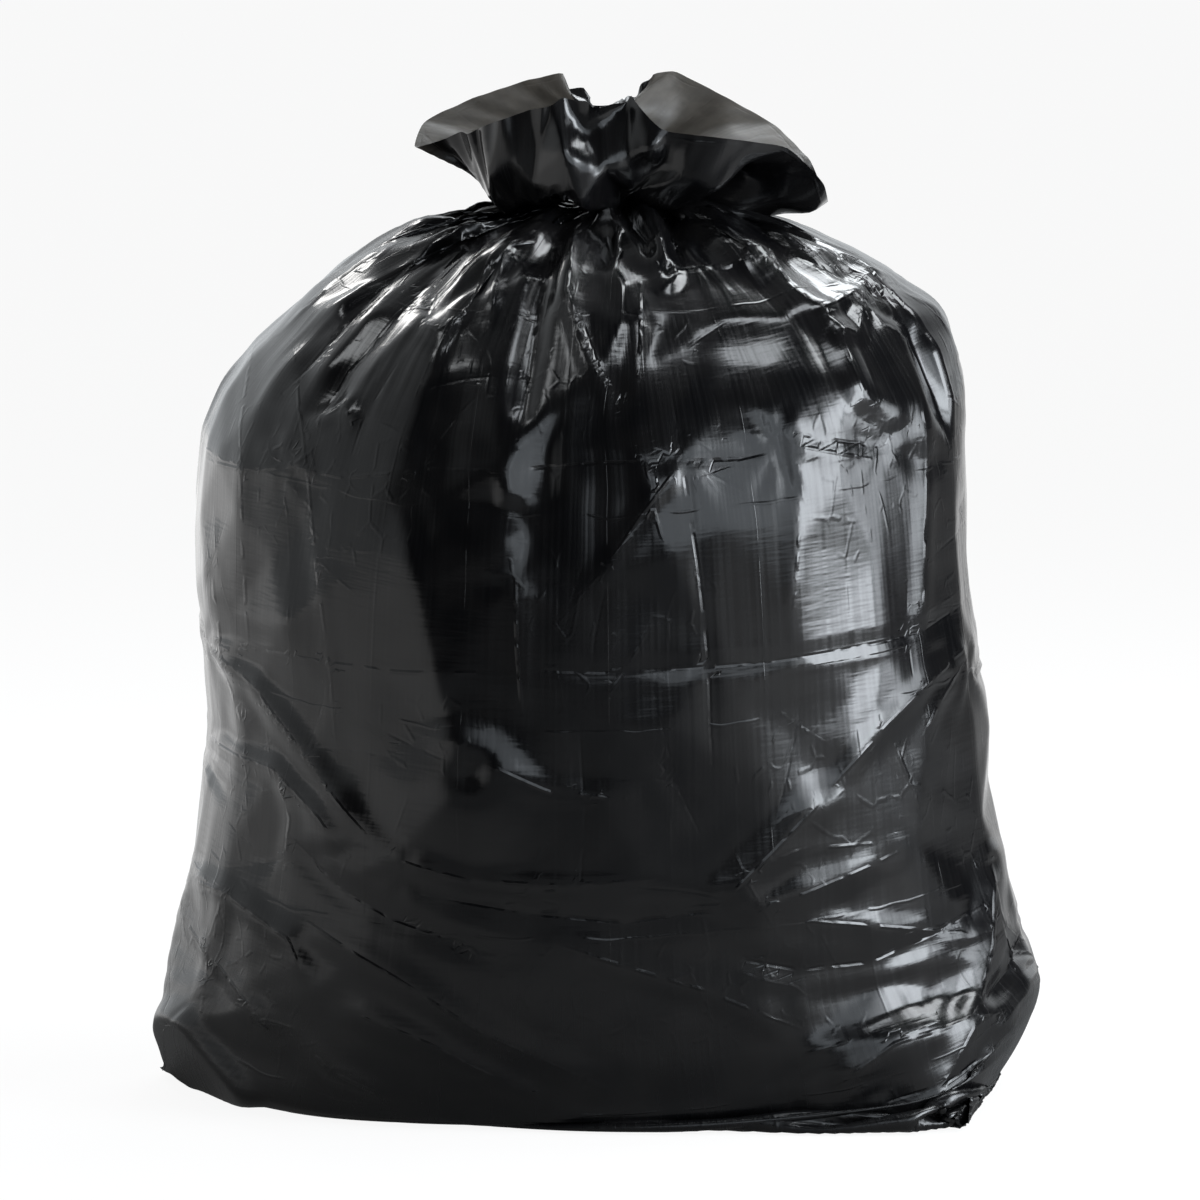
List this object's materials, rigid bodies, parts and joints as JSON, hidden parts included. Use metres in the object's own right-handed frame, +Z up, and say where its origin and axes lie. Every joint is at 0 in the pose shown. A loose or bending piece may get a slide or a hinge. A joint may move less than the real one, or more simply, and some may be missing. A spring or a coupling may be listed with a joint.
{
  "type": "full bin bag",
  "caption": "Filled black polythene refuse sack standing on its base, gathered and tied at the neck with a flared crown of spare film above.",
  "frame": {"origin": "on the floor under the middle of the bag's flat base", "axes": "+Z up through the neck, -Y towards the front of the bag, +X to the right as seen from the front"},
  "size_m": [0.5533, 0.43, 0.6406],
  "materials": {
    "film": "glossy thin polythene film, creased",
    "tie_film": "wound strip of the same film, finely crinkled"
  },
  "bodies": {
    "root": {"bin_bag": "film", "neck_tie": "tie_film"}
  },
  "joints": []
}
